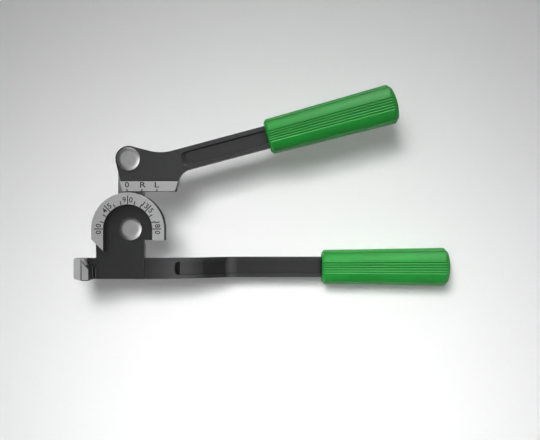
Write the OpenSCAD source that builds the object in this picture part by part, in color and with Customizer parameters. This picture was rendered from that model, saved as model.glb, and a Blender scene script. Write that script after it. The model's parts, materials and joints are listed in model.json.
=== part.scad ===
// Lever tube bender: a form handle with a grooved forming wheel, and a lever with a grooved
// shoe that a link carries round the wheel. The tool lies on its back. The origin is on the
// wheel's axis, level with the centreline of the tube. +X runs along the form handle to its
// grip, +Y points to the lever's pin in the 90 degree position, and +Z points out of the scale.

/* [Tube and bend] */
// Outside diameter of the tube that the tool bends
tube_d = 10; // [8:0.5:10.5]
// Radius of the bend, on the centreline of the tube
bend_r = 30; // [29:0.5:34]
// Gap between the flats of the shoe and the rim of the wheel
nip_gap = 1.1; // [0.9:0.1:1.4]

/* [Forming wheel] */
// Height of the scale face above the centreline of the tube
wheel_front_h = 8.2; // [7:0.1:10]
// Depth of the wheel's seat below the centreline of the tube
wheel_back_h = 9; // [8.5:0.1:9.5]
// Width of the scale face between the rim and the recess
scale_w = 9.7; // [9.2:0.1:11]
// Thickness of the web that floors the recess and runs down as a leg
web_t = 1.7; // [1.2:0.1:2.5]
// Straight length of the rim below the wheel's centre
arm_l = 9.5; // [8:0.1:11]
// Distance below the centre at which the entry cut meets the left rim
entry_drop = 8.5; // [7:0.1:10]
// Distance of the leg's straight side from the wheel's axis
leg_side = 11.5; // [11:0.1:14]
// Radius of the spigot that centres the wheel in the handle
spigot_r = 9; // [7.5:0.1:10]

/* [Form handle] */
// Width of the handle's bar
bar_w = 17.6; // [16:0.1:18.5]
// Thickness of the handle's bar
bar_t = 8; // [7:0.1:9]
// Distance of the bar's upper edge below the wheel's centre
bar_drop = 24.7; // [23.5:0.1:26]
// Thickness of the plate behind the wheel
seat_t = 2.6; // [2.4:0.1:3]
// Distance below the wheel's centre at which the plate begins
seat_drop = 12.5; // [12:0.1:14]
// Inset of the plate from the rim of the wheel
seat_inset = 0.6; // [0.5:0.1:1.5]
// Distance from the wheel's axis at which the bar starts to bend back
joggle_x = 12; // [11.5:0.5:16]
// Depth of the bar's bend away from the lever
joggle_h = 24.5; // [23:0.5:26]
// Radius of the long bend
joggle_r = 107; // [100:1:112]
// Radius of the short bend back
joggle_end_r = 21; // [18:1:23]
// Steepest slope of the bar in degrees
joggle_a = 29; // [28:1:31]
// Distance of the lower grip's front end from the wheel's axis
lower_grip_x = 162.5; // [145:0.5:175]
// Length of bar inside a grip
tang_l = 84; // [60:1:95]

/* [Tube jaw] */
// Gap between the centreline of the tube and the jaw's inner wall
jaw_gap = 1; // [0.8:0.1:1.5]
// Height of the jaw's front face above the centreline of the tube
jaw_h = 15.6; // [14:0.1:18]
// Distance below the bar's upper edge at which the entry cut meets the jaw's inner wall
jaw_cut_drop = 7.3; // [5:0.1:9]
// Slope of the entry cut on the jaw in degrees
jaw_cut_a = 50; // [45:1:55]
// Width of the jaw's front face
jaw_face_w = 5.2; // [5:0.1:7]
// Width of the bevel beside the front face
jaw_bevel_w = 2.7; // [2:0.1:3.5]
// Height of the bevel beside the front face
jaw_bevel_h = 5.9; // [4:0.1:7]
// Width of the jaw's sloping flank
jaw_flank_w = 7.6; // [6:0.1:9]
// Height of the jaw's sloping flank
jaw_flank_h = 15; // [12:0.1:16]
// Width of the jaw's foot outside the flank
jaw_foot_w = 1.8; // [1:0.1:3]
// Fillet between the jaw's inner wall and the base
jaw_fillet_r = 2; // [1:0.1:3]

/* [Shoe lever] */
// Height of the lever's pin above the centreline of the tube
lever_pin_h = 28; // [27:0.5:32]
// Height of the lever's front face above the centreline of the tube
lever_front_h = 3.2; // [2.5:0.1:4]
// Thickness of the lever's web and bar
lever_t = 8; // [7:0.1:8.5]
// Width of the lever's bar
lever_w = 18.8; // [17:0.1:20]
// Slope of the lever's bar in degrees
lever_a = 15; // [13:0.5:17]
// Distance of the lever's pin from the centreline of its bar
lever_drop = 12; // [11.5:0.1:13]
// Radius of the boss round the lever's pin
boss_r = 11; // [10.5:0.1:12]
// Slope of the neck's upper edge, down from the boss, in degrees
neck_a = 14.5; // [13:0.5:16]
// Fillet between the neck and the bar
neck_r = 37; // [30:1:45]
// Distance of the shoe's toe from the line through both pins
shoe_toe = 4.3; // [3:0.1:5]
// Length of the shoe's grooved face
shoe_l = 43.1; // [38:0.1:46]
// Height of the shoe's bright block
shoe_h = 8.1; // [7.8:0.1:9.5]
// Half of the shoe's thickness
shoe_half_t = 8.2; // [7:0.1:8.2]
// Lean of the shoe's heel from the upright in degrees
heel_a = 17.6; // [12:0.2:20]
// Fillet between the shoe's heel and the bar
heel_r = 11; // [8:0.5:13]
// Distance of the upper grip's front end from the lever's pin
upper_grip_s = 116; // [105:1:130]

/* [Bar pockets] */
// Depth of the pockets in the faces of both bars
pocket_d = 2.5; // [1.5:0.1:3]
// Width of the pockets at the face of the bar
pocket_w = 11.5; // [9:0.1:12.5]
// Radius of the pockets' corners
pocket_r = 4; // [2:0.1:4.4]
// Narrowing of the pockets' sides towards the floor
pocket_draft = 0.7; // [0.4:0.1:1]
// Length of the ramp at the inner end of the pockets
pocket_ramp = 4; // [3:0.1:6]
// Distance of the handle's pocket from the wheel's axis
lower_pocket_x = 36.7; // [34:0.1:45]
// Distance of the lever's pocket from the lever's pin, along the bar
lever_pocket_s = 42.2; // [37:0.2:50]

/* [Link] */
// Thickness of the link
link_t = 5; // [4:0.1:6]
// Half of the link's width, and the radius of its ends
link_r = 11.2; // [10:0.1:11.3]
// Bevel on the link's edges
link_bevel = 0.5; // [0.3:0.1:1]
// Axial play of the link between its washers
link_play = 0.1; // [0.1:0.05:0.3]

/* [Pins] */
// Radius of both pins
pin_r = 5; // [4.5:0.1:5.2]
// Radius of the pins' heads
head_r = 9.6; // [9.2:0.1:10]
// Height of the pins' heads
head_h = 2.8; // [2.4:0.1:3.2]
// Radius of the flat top of the heads
head_flat_r = 5.9; // [5:0.1:6.5]
// Height of the cylindrical rim of the heads
head_rim_h = 0.6; // [0.4:0.1:0.8]
// Thickness of the bushes' wall
bush_wall = 1.5; // [1.2:0.1:2]
// Radius of the washers
washer_r = 8.4; // [8:0.1:9]
// Thickness of the washers between link and handle, and between link and lever
thrust_t = 0.5; // [0.4:0.1:0.8]
// Thickness of the washers under the retaining rings
washer_t = 0.8; // [0.6:0.1:1.2]
// Thickness of the retaining rings
ring_t = 1; // [0.8:0.1:1.2]
// Width of the retaining rings' band
ring_w = 1.5; // [1.2:0.1:1.8]
// Radius of the retaining rings' eyes
ring_eye_r = 1.2; // [1.1:0.1:1.3]
// Angle of the eyes from the middle of the retaining rings' gap in degrees
ring_eye_a = 28; // [25:1:35]
// Depth of the pins' groove for the retaining rings
ring_groove = 0.7; // [0.5:0.1:0.9]
// Length of pin behind the retaining ring
pin_tail = 1.4; // [1:0.1:2]
// Bevel on the pins' ends
pin_bevel = 0.7; // [0.4:0.1:0.9]

/* [Wheel screws and dowels] */
// Radius of the screws' thread
screw_r = 1.5; // [1.2:0.1:1.6]
// Radius of the screws' countersunk heads
screw_head_r = 2.9; // [2.5:0.1:3]
// Height of the screws' countersunk heads
screw_head_h = 1.4; // [1.2:0.1:1.6]
// Length of the screws
screw_l = 10; // [7:0.5:12]
// Width of the screws' hexagon socket
screw_key = 2; // [1.5:0.1:2.2]
// Depth of the screws' hexagon socket
screw_key_h = 1; // [0.8:0.1:1.2]
// Radius of the dowels
dowel_r = 1.4; // [1:0.1:1.6]
// Length of the dowels
dowel_l = 9; // [6:0.5:11]

/* [Grips] */
// Length of a grip
grip_l = 112; // [100:0.5:125]
// Radius of a grip behind its front bevel
grip_front_r = 14.8; // [14:0.1:15.5]
// Radius of a grip before its rear bevel
grip_rear_r = 16.6; // [16:0.1:17.2]
// Length of a grip's front bevel
grip_bevel_l = 1.9; // [1:0.1:3]
// Depth of a grip's front bevel
grip_bevel_d = 2.4; // [1.5:0.1:2.6]
// Size of a grip's rear bevel
grip_rear_bevel = 3.3; // [2:0.1:4.5]
// Rise of the dome on a grip's rear end
grip_dome = 2.2; // [1:0.1:3]
// Radius of the round grooves along a grip
groove_r = 0.55; // [0.3:0.05:0.7]
// Angle between the grooves of a group in degrees
groove_step_a = 8; // [6:0.5:9]
// Angle of the single grooves from the middle of a group in degrees
groove_single_a = 58; // [50:1:65]
// Clearance between a bar and the socket of its grip
socket_clear = 0.1; // [0.05:0.05:0.2]

/* [Fits] */
// Clearance of pieces that are pressed, screwed or centred in each other
fit_clear = 0.03; // [0.02:0.01:0.05]
// Radial clearance of a pin in its bush
run_clear = 0.05; // [0.03:0.01:0.08]

/* [Hidden] */
$fn = 64;

// Overrun of cuts past the faces that they open
over = tube_d / 10;
// Overlap of solids that are joined into one piece
join = tube_d / 50;
// Growth of a fillet's circle, which then crosses the edges beside it cleanly instead of grazing them
graze_share = 1.0005;

tube_r = tube_d / 2;
recess_r = bend_r - scale_w;
floor_z = web_t - wheel_back_h;
seat_z = -wheel_back_h;
seat_back_z = seat_z - seat_t;
base_back_z = seat_z - bar_t;
bar_low_y = -bar_drop - bar_w;
bar_mid_y = -bar_drop - bar_w / 2;
upright_x = seat_inset - bend_r;
jaw_x = -bend_r - jaw_gap;
jaw_out_w = jaw_face_w + jaw_bevel_w + jaw_flank_w + jaw_foot_w;

// The link and what holds it, from front to back
link_z = seat_back_z - thrust_t - link_play;
link_back_z = link_z - link_t;
washer_z = link_back_z - link_play;
ring_z = washer_z - washer_t;
pin_end_z = ring_z - ring_t - pin_tail;

// The lever's pin, and the rise of the bar's upper and lower edges there
lever_pin_y = bend_r + lever_pin_h;
lever_back_z = lever_front_h - lever_t;
shoe_face_y = nip_gap - lever_pin_h;
heel_x = shoe_l - shoe_toe;

// Holes in the wheel's band and in the plate behind it
band_r = (recess_r + bend_r - tube_r) / 2;
screw_angles = [-10, 60, 120, 190];
dowel_angles = [25, 155];

// Half of a full turn in degrees
half_turn = 180;

// Where the bar's level face and its slope would meet without the long bend, and the flat
// stretch of the bar that runs into the grip
knee_x = joggle_x + joggle_r * tan(joggle_a / 2);
flat_z = seat_z - joggle_h;

black_paint = [0.17, 0.17, 0.18];
bright_steel = [0.68, 0.69, 0.70];
link_grey = [0.45, 0.46, 0.47];
bronze = [0.66, 0.49, 0.28];
grip_green = [0.12, 0.55, 0.22];

// A point at a distance and an angle from the origin.
function polar(r, a) = [r * cos(a), r * sin(a)];

// The corner between two edges that leave a point at the angles a1 and a2, outside the fillet of
// radius r that touches both. Added, it fills an inner corner; cut away, it rounds an outer one.
module corner_patch(at, a1, a2, r) {
  half = (a2 - a1) / 2;
  reach = r / tan(half);
  translate(at) rotate(a1 + half)
    difference() {
      polygon([[-join, 0], polar(reach, -half), polar(reach, half)]);
      translate([r / sin(half), 0]) circle(r * graze_share);
    }
}

// Stands a side view up, so that its x stays X and its y becomes Z, from y0 over the width w.
module upright(y0, w) {
  translate([0, y0 + w, 0]) rotate([90, 0, 0]) linear_extrude(w) children();
}

// Everything on the far side of the line through a point, at an angle, as a square of size s.
module half_plane(at, a, s) {
  translate(at) rotate(a) translate([-s, -s * 2]) square(s * 2);
}

// Everything beyond the slanting cut through which the tube is laid in.
module entry_cut() {
  half_plane([-bend_r, -entry_drop], -45, 4 * bend_r);
}

// The outline of a half disc with arms down to the depth l, of the radius r.
module arch_outline(r, l) {
  intersection() {
    circle(r);
    translate([-r, 0]) square([2 * r, r]);
  }
  translate([-r, -l]) square([2 * r, l]);
}

// The outline of the scale face: an arch round the recess, with a longer left arm.
module rim_outline() {
  difference() {
    union() {
      arch_outline(bend_r, arm_l);
      translate([-bend_r, bar_low_y]) square([scale_w, -bar_low_y]);
    }
    arch_outline(recess_r, 2 * bar_drop);
    entry_cut();
  }
}

// The outline of the web inside the rim, and of the leg below it.
module web_outline() {
  difference() {
    union() {
      arch_outline(recess_r + join, arm_l);
      translate([-recess_r - join, bar_low_y]) square([recess_r + join + leg_side, -bar_low_y]);
    }
    entry_cut();
  }
}

module wheel_holes(r, z, l) {
  for (a = screw_angles)
    translate([band_r * cos(a), band_r * sin(a), z]) cylinder(r = r, h = l);
}

module dowel_holes(r, z, l) {
  for (a = dowel_angles)
    translate([band_r * cos(a), band_r * sin(a), z]) cylinder(r = r, h = l);
}

// The space that a tube takes, laid round the wheel and straight on beside both arms.
module wrapped_tube() {
  rotate_extrude(angle = 180) translate([bend_r, 0]) circle(tube_r);
  for (x = [-bend_r, bend_r])
    translate([x, 0, 0]) rotate([90, 0, 0]) cylinder(r = tube_r, h = 2 * bend_r);
}

// The grooved wheel with its recessed web, and the leg that runs down over the handle.
module forming_wheel() {
  color(bright_steel)
    difference() {
      union() {
        translate([0, 0, seat_z]) linear_extrude(wheel_back_h + wheel_front_h) rim_outline();
        translate([0, 0, seat_z]) linear_extrude(web_t) web_outline();
        translate([0, 0, seat_back_z]) cylinder(r = spigot_r, h = seat_t + web_t / 2);
      }
      wrapped_tube();
      translate([0, 0, seat_back_z - over]) cylinder(r = pin_r + fit_clear, h = seat_t + web_t + 2 * over);
      wheel_holes(screw_r + fit_clear, seat_z - over, screw_l - seat_t + 2 * over);
      dowel_holes(dowel_r + fit_clear, seat_z - over, dowel_l - seat_t + 2 * over);
    }
}

// Side view of a layer of the handle's bar, from the depth d0 to the depth d1 behind its face,
// and from x0 to x1 along the bar.
module bar_layer(d0, d1, x0, x1) {
  slope = tan(joggle_a);
  // Where the slope's line crosses the lines of the two level faces, at the depth d.
  function upper_knee(d) = [knee_x - d * tan(joggle_a / 2), seat_z - d];
  function lower_knee(d) = [knee_x + joggle_h / slope - d * tan(joggle_a / 2), flat_z - d];
  difference() {
    union() {
      polygon([
        [x0, seat_z - d1], upper_knee(d1), lower_knee(d1), [x1, flat_z - d1],
        [x1, flat_z - d0], lower_knee(d0), upper_knee(d0), [x0, seat_z - d0]
      ]);
      corner_patch(upper_knee(d1), half_turn, 2 * half_turn - joggle_a, joggle_r - d1);
      corner_patch(lower_knee(d0), 0, half_turn - joggle_a, joggle_end_r + d0);
    }
    corner_patch(upper_knee(d0), half_turn, 2 * half_turn - joggle_a, joggle_r - d0);
    corner_patch(lower_knee(d1), 0, half_turn - joggle_a, joggle_end_r + d1);
  }
}

// A pocket's outline, from its rounded inner end at the origin to the length l.
module pocket_outline(l, w, r) {
  difference() {
    translate([0, -w / 2]) square([l, w]);
    corner_patch([0, -w / 2], 0, 90, r);
    corner_patch([0, w / 2], -90, 0, r);
  }
}

// Cutter of the pocket in the face of the handle's bar: its outline, and its side view with a
// ramp at the inner end.
module handle_pocket() {
  function face_point(x) = [x, seat_z - joggle_r * (1 - cos(asin((x - joggle_x) / joggle_r)))];
  mouth = face_point(lower_pocket_x);
  ramp = face_point(lower_pocket_x + pocket_ramp) - [0, pocket_d] - mouth;
  far_x = lower_grip_x + tang_l / 2;
  intersection() {
    upright(bar_low_y, bar_w)
      difference() {
        bar_layer(-over, pocket_d, lower_pocket_x - pocket_ramp, far_x + over);
        half_plane(mouth, atan2(ramp[1], ramp[0]), 2 * joggle_h);
      }
    translate([lower_pocket_x, bar_mid_y, flat_z - bar_t]) linear_extrude(joggle_h + 2 * bar_t)
      pocket_outline(far_x - lower_pocket_x, pocket_w, pocket_r);
  }
}

// Side view of the jaw, with the half round seat of the tube cut into its inner wall.
module jaw_section() {
  difference() {
    union() {
      polygon([
        [jaw_x, jaw_h],
        [jaw_x - jaw_face_w, jaw_h],
        [jaw_x - jaw_face_w - jaw_bevel_w, jaw_h - jaw_bevel_h],
        [jaw_x - jaw_out_w + jaw_foot_w, jaw_h - jaw_bevel_h - jaw_flank_h],
        [jaw_x - jaw_out_w, seat_z],
        [jaw_x - jaw_out_w, base_back_z],
        [jaw_x, base_back_z]
      ]);
      corner_patch([jaw_x, seat_z], 0, 90, jaw_fillet_r);
    }
    translate([-bend_r, 0]) circle(tube_r);
  }
}

// The jaw, with rounded outer corners, and with its inner corner taken off by the entry cut.
module jaw() {
  outer_x = jaw_x - jaw_out_w;
  difference() {
    upright(bar_low_y, bar_w) jaw_section();
    translate([0, 0, base_back_z - over]) linear_extrude(2 * bend_r + jaw_h) {
      corner_patch([outer_x, bar_low_y], 0, 90, jaw_foot_w);
      corner_patch([outer_x, -bar_drop], -90, 0, jaw_foot_w);
    }
    translate([0, 0, seat_z]) linear_extrude(2 * bend_r)
      half_plane([jaw_x, -bar_drop - jaw_cut_drop], 180 - jaw_cut_a, 2 * jaw_out_w);
  }
}

// The plate behind the wheel, and the thicker upright below it that stops the link.
module upright_plate() {
  translate([0, 0, base_back_z]) linear_extrude(bar_t) {
    translate([upright_x, -bar_drop - join]) square([leg_side - upright_x, bar_drop - seat_drop + join]);
    corner_patch([upright_x, -bar_drop], 90, 180, jaw_fillet_r / 2);
  }
  translate([0, 0, seat_back_z]) linear_extrude(seat_t) {
    arch_outline(-upright_x, arm_l - seat_inset);
    translate([upright_x, -seat_drop - join]) square([leg_side - upright_x, seat_drop]);
  }
}

// The forged handle: base with the tube jaw, upright plate behind the wheel, and joggled bar.
module form_handle() {
  color(black_paint)
    difference() {
      union() {
        jaw();
        upright(bar_low_y, bar_w) bar_layer(0, bar_t, jaw_x - join, lower_grip_x + tang_l);
        upright_plate();
      }
      handle_pocket();
      // Bore and countersunk holes for what carries the wheel.
      translate([0, 0, seat_back_z - over]) cylinder(r = spigot_r + fit_clear, h = seat_t + 2 * over);
      wheel_holes(screw_r + fit_clear, seat_back_z - over, seat_t + 2 * over);
      dowel_holes(dowel_r + fit_clear, seat_back_z - over, seat_t + 2 * over);
      for (a = screw_angles)
        translate([band_r * cos(a), band_r * sin(a), seat_back_z])
          cylinder(r1 = screw_head_r + fit_clear, r2 = screw_r + fit_clear, h = screw_head_h + fit_clear);
    }
}

// One countersunk screw with a hexagon socket, head down, from its head's face upwards.
module countersunk_screw() {
  difference() {
    union() {
      cylinder(r1 = screw_head_r, r2 = screw_r, h = screw_head_h);
      cylinder(r = screw_r, h = screw_l);
    }
    translate([0, 0, -over]) cylinder(d = screw_key / cos(30), h = screw_key_h + over, $fn = 6);
  }
}

module wheel_screws() {
  color(link_grey)
    for (a = screw_angles)
      translate([band_r * cos(a), band_r * sin(a), seat_back_z]) countersunk_screw();
}

module wheel_dowels() {
  color(bright_steel)
    dowel_holes(dowel_r, seat_back_z, dowel_l);
}

// Half of a pin's section: flat head with a large round edge, shank, ring groove and bevelled end.
module pin_section(seat, end) {
  round_w = head_r - head_flat_r;
  round_h = head_h - head_rim_h;
  round_a = 2 * atan(round_h / round_w);
  round_r = round_w / sin(round_a);
  translate([0, seat]) {
    square([head_flat_r, head_h]);
    intersection() {
      translate([head_flat_r, head_h - round_r]) circle(round_r);
      square([head_r, head_h]);
    }
  }
  difference() {
    polygon([
      [0, end], [pin_r - pin_bevel, end], [pin_r, end + pin_bevel], [pin_r, seat + join], [0, seat + join]
    ]);
    translate([pin_r - ring_groove, ring_z - ring_t]) square([ring_groove + over, ring_t]);
  }
}

module centre_pin() {
  color(bright_steel)
    rotate_extrude() pin_section(floor_z, pin_end_z);
}

module lever_pin() {
  color(bright_steel)
    translate([0, lever_pin_y, 0]) rotate_extrude() pin_section(lever_front_h, pin_end_z);
}

// A flat ring between two radii, from the height z upwards.
module flat_ring(inner, outer, z, t) {
  translate([0, 0, z])
    difference() {
      cylinder(r = outer, h = t);
      translate([0, 0, -over]) cylinder(r = inner, h = t + 2 * over);
    }
}

module centre_thrust_washer() {
  color(bronze) flat_ring(pin_r + run_clear, washer_r, link_z + link_play, thrust_t);
}

module lever_thrust_washer() {
  color(bronze) translate([0, lever_pin_y, 0])
    flat_ring(pin_r + run_clear, washer_r, link_z + link_play, thrust_t);
}

module centre_back_washer() {
  color(link_grey) flat_ring(pin_r + run_clear, washer_r, ring_z, washer_t);
}

module lever_back_washer() {
  color(link_grey) translate([0, lever_pin_y, 0]) flat_ring(pin_r + run_clear, washer_r, ring_z, washer_t);
}

module centre_bush() {
  color(bronze) flat_ring(pin_r + run_clear, pin_r + bush_wall, link_back_z, link_t);
}

module lever_bush() {
  color(bronze) translate([0, lever_pin_y, 0])
    flat_ring(pin_r + run_clear, pin_r + bush_wall, link_back_z, link_t);
}

// A sprung retaining ring, open at the top, with two eyes for its pliers.
module retaining_ring() {
  inner = pin_r - ring_groove + fit_clear;
  outer = inner + ring_w;
  eye_at = outer - ring_eye_r / 2;
  translate([0, 0, ring_z - ring_t]) linear_extrude(ring_t)
    difference() {
      union() {
        difference() {
          circle(outer);
          polygon([[0, 0], polar(3 * outer, 90 - ring_eye_a), polar(3 * outer, 90 + ring_eye_a)]);
        }
        for (a = [90 - ring_eye_a, 90 + ring_eye_a])
          translate(polar(eye_at, a)) circle(ring_eye_r);
      }
      circle(inner);
      for (a = [90 - ring_eye_a, 90 + ring_eye_a])
        translate(polar(eye_at, a)) circle(ring_eye_r / 2);
    }
}

module centre_retaining_ring() {
  color(link_grey) rotate([0, 0, 90]) retaining_ring();
}

module lever_retaining_ring() {
  color(link_grey) translate([0, lever_pin_y, 0]) retaining_ring();
}

// The link's outline, narrower than the link by the inset.
module link_outline(inset) {
  for (y = [0, lever_pin_y])
    translate([0, y]) circle(link_r - inset);
  translate([inset - link_r, 0]) square([2 * (link_r - inset), lever_pin_y]);
}

module link() {
  color(link_grey)
    difference() {
      union() {
        translate([0, 0, link_back_z + link_bevel]) linear_extrude(link_t - 2 * link_bevel) link_outline(0);
        for (y = [0, lever_pin_y]) translate([0, y, 0]) {
          translate([0, 0, link_back_z]) cylinder(r1 = link_r - link_bevel, r2 = link_r, h = link_bevel);
          translate([0, 0, link_z - link_bevel]) cylinder(r1 = link_r, r2 = link_r - link_bevel, h = link_bevel);
        }
        upright(0, lever_pin_y)
          polygon([
            [link_bevel - link_r, link_back_z], [link_r - link_bevel, link_back_z],
            [link_r, link_back_z + link_bevel], [link_r, link_z - link_bevel],
            [link_r - link_bevel, link_z], [link_bevel - link_r, link_z],
            [-link_r, link_z - link_bevel], [-link_r, link_back_z + link_bevel]
          ]);
      }
      for (y = [0, lever_pin_y])
        translate([0, y, link_back_z - over])
          cylinder(r = pin_r + bush_wall + fit_clear, h = link_t + 2 * over);
    }
}

// The lever's outline round its pin, with the neck, the shoe and the start of the bar.
module lever_outline() {
  bar_top = lever_w / 2 - lever_drop;
  bar_low = -lever_w / 2 - lever_drop;
  toe = [-shoe_toe, shoe_face_y];
  toe_far = norm(toe);
  toe_a = atan2(toe[1], toe[0]) - acos(boss_r / toe_far);
  // Where the neck's upper edge meets the bar's upper edge.
  dip_x = (boss_r / cos(neck_a) - bar_top / cos(lever_a)) / (tan(neck_a) + tan(lever_a));
  dip = [dip_x, boss_r / cos(neck_a) - dip_x * tan(neck_a)];
  // Where the heel's edge meets the bar's lower edge.
  low_0 = bar_low / cos(lever_a);
  heel_y = (low_0 + (heel_x - shoe_face_y * tan(heel_a)) * tan(lever_a)) / (1 - tan(heel_a) * tan(lever_a));
  crotch = [heel_x + (heel_y - shoe_face_y) * tan(heel_a), heel_y];
  bar_end = upper_grip_s + tang_l;
  circle(boss_r);
  polygon([
    polar(boss_r, toe_a), toe, [heel_x, shoe_face_y], crotch, dip, polar(boss_r, 90 - neck_a)
  ]);
  dip_s = dip * polar(1, lever_a);
  rotate(lever_a) translate([dip_s, bar_low]) square([bar_end - dip_s, lever_w]);
  corner_patch(dip, lever_a, 180 - neck_a, neck_r);
  corner_patch(crotch, -90 - heel_a, lever_a, heel_r);
}

// The outline of the shoe's block.
module shoe_outline() {
  intersection() {
    lever_outline();
    translate([-2 * shoe_l, shoe_face_y]) square([4 * shoe_l, shoe_h]);
  }
}

// Cutter of the pocket in the face of the lever's bar, with sloping sides and a ramp at its end.
module lever_pocket() {
  length = upper_grip_s - lever_pocket_s + tang_l / 2;
  rotate([0, 0, lever_a]) translate([lever_pocket_s, -lever_drop, lever_front_h])
    hull() {
      linear_extrude(over) pocket_outline(length, pocket_w, pocket_r, $fn = 32);
      translate([pocket_ramp, 0, -pocket_d]) linear_extrude(join)
        pocket_outline(length - pocket_ramp, pocket_w - 2 * pocket_draft, pocket_r - pocket_draft, $fn = 32);
    }
}

// The lever, with its boss, neck and bar, and the grooved shoe that forms the tube.
module shoe_lever() {
  color(black_paint)
    translate([0, lever_pin_y, 0])
      difference() {
        union() {
          translate([0, 0, lever_back_z]) linear_extrude(lever_t) lever_outline();
          translate([0, 0, link_z + link_play + thrust_t])
            cylinder(r = boss_r, h = lever_back_z - seat_back_z + join);
          translate([0, 0, -shoe_half_t]) linear_extrude(2 * shoe_half_t) shoe_outline();
        }
        // The half round groove that the tube is formed in.
        translate([-shoe_l, -lever_pin_h, 0]) rotate([0, 90, 0]) cylinder(r = tube_r, h = 3 * shoe_l);
        translate([0, 0, seat_back_z - over])
          cylinder(r = pin_r + fit_clear, h = lever_front_h - seat_back_z + 2 * over);
        lever_pocket();
      }
}

// Half of a grip's section along its length, which is x, from the axis outwards.
module grip_section() {
  rear_x = grip_l - grip_dome - grip_rear_bevel;
  end_r = grip_rear_r - grip_rear_bevel;
  dome_r = (end_r * end_r + grip_dome * grip_dome) / (2 * grip_dome);
  polygon([
    [0, 0], [rear_x + grip_rear_bevel, 0], [rear_x + grip_rear_bevel, end_r], [rear_x, grip_rear_r],
    [grip_bevel_l, grip_front_r], [0, grip_front_r - grip_bevel_d]
  ]);
  intersection() {
    translate([grip_l - dome_r, 0]) circle(dome_r);
    translate([rear_x, 0]) square([2 * grip_dome + grip_rear_bevel, end_r]);
  }
}

// A grip along +X from the origin, with a socket for a bar of the width w and the thickness t.
module grip(w, t) {
  rear_x = grip_l - grip_dome - grip_rear_bevel;
  taper = atan((grip_rear_r - grip_front_r) / (rear_x - grip_bevel_l));
  group = [for (i = [-2:2]) i * groove_step_a];
  singles = [-groove_single_a, groove_single_a];
  color(grip_green)
    difference() {
      rotate([0, 90, 0]) rotate_extrude() mirror([1, 0]) rotate(90) grip_section();
      translate([-over, -w / 2 - socket_clear, -t / 2 - socket_clear])
        cube([tang_l + socket_clear + over, w + 2 * socket_clear, t + 2 * socket_clear]);
      for (side = [0, 180], a = concat(group, singles))
        rotate([side + a, 0, 0]) translate([grip_bevel_l, 0, grip_front_r]) rotate([0, 90 - taper, 0])
          translate([0, 0, -over]) cylinder(r = groove_r, h = rear_x - grip_bevel_l + 2 * over);
    }
}

module lower_grip() {
  translate([lower_grip_x, bar_mid_y, flat_z - bar_t / 2]) grip(bar_w, bar_t);
}

module upper_grip() {
  translate([0, lever_pin_y, 0]) rotate([0, 0, lever_a])
    translate([upper_grip_s, -lever_drop, lever_front_h - lever_t / 2]) grip(lever_w, lever_t);
}

form_handle();
forming_wheel();
wheel_screws();
wheel_dowels();
centre_pin();
centre_thrust_washer();
centre_back_washer();
centre_retaining_ring();
lower_grip();
link();
centre_bush();
lever_bush();
shoe_lever();
lever_pin();
lever_thrust_washer();
lever_back_washer();
lever_retaining_ring();
upper_grip();
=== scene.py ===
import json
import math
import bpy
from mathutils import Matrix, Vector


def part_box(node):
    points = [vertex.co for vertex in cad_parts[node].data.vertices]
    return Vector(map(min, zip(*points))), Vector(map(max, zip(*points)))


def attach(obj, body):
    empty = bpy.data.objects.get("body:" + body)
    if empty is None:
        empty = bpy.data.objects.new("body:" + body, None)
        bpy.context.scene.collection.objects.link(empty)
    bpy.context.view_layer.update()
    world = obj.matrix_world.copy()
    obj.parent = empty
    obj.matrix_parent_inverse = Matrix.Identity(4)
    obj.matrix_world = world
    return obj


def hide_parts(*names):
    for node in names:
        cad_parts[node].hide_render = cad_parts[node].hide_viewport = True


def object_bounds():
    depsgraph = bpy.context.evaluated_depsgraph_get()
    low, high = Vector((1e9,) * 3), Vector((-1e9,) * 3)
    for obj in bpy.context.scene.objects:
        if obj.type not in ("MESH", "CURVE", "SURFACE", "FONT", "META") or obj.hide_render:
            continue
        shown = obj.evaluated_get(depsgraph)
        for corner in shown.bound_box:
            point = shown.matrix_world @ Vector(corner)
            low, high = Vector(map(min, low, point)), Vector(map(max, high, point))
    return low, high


bl_info = {
    "name": "Tube bender",
    "version": (1, 0, 0),
    "blender": (4, 5, 0),
    "location": "3D View > Sidebar > Tube bender",
    "description": "Dresses the packed model of a lever tube bender, and sets its stage",
    "category": "Object",
}

import bpy
import numpy as np
from bpy.props import FloatProperty, FloatVectorProperty, PointerProperty
from mathutils import Vector

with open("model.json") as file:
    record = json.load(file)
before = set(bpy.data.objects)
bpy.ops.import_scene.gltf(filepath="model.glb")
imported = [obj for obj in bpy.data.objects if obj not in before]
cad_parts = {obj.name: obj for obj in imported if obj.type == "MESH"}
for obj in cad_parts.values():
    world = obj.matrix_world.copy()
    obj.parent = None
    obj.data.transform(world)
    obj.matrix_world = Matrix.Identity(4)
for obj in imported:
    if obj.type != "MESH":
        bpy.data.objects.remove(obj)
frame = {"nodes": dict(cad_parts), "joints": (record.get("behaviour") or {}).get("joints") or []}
CAD_BOX = [list(corner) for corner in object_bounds()]

FORM_BODY, LEVER_BODY = "form_body", "lever_body"
WHEEL_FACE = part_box("forming_wheel")[1].z
LEVER_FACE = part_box("shoe_lever")[1].z
PIN_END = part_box("centre_pin")[0].z
LOWER_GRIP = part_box("lower_grip")
UPPER_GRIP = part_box("upper_grip")
JOINTS = {joint["name"]: joint for joint in frame["joints"]}
LEVER_PIN = Vector(JOINTS["lever_swing"]["pos_m"])
FLOOR_HEIGHT = CAD_BOX[0][2]
MM = 0.001

# How finely the new surfaces are divided: columns round a pin and round a grip, columns across one
# groove, rows over a pin's head and a grip's dome, and the points on an eased corner.
PIN_COLUMNS, GRIP_COLUMNS, GROOVE_COLUMNS = 96, 144, 13
HEAD_ROWS, DOME_ROWS, GRIP_CORNER_POINTS = 16, 9, 6
# The ring that a pole is closed over, as a share of the radius beside it.
POLE_SHARE = 0.02
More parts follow.
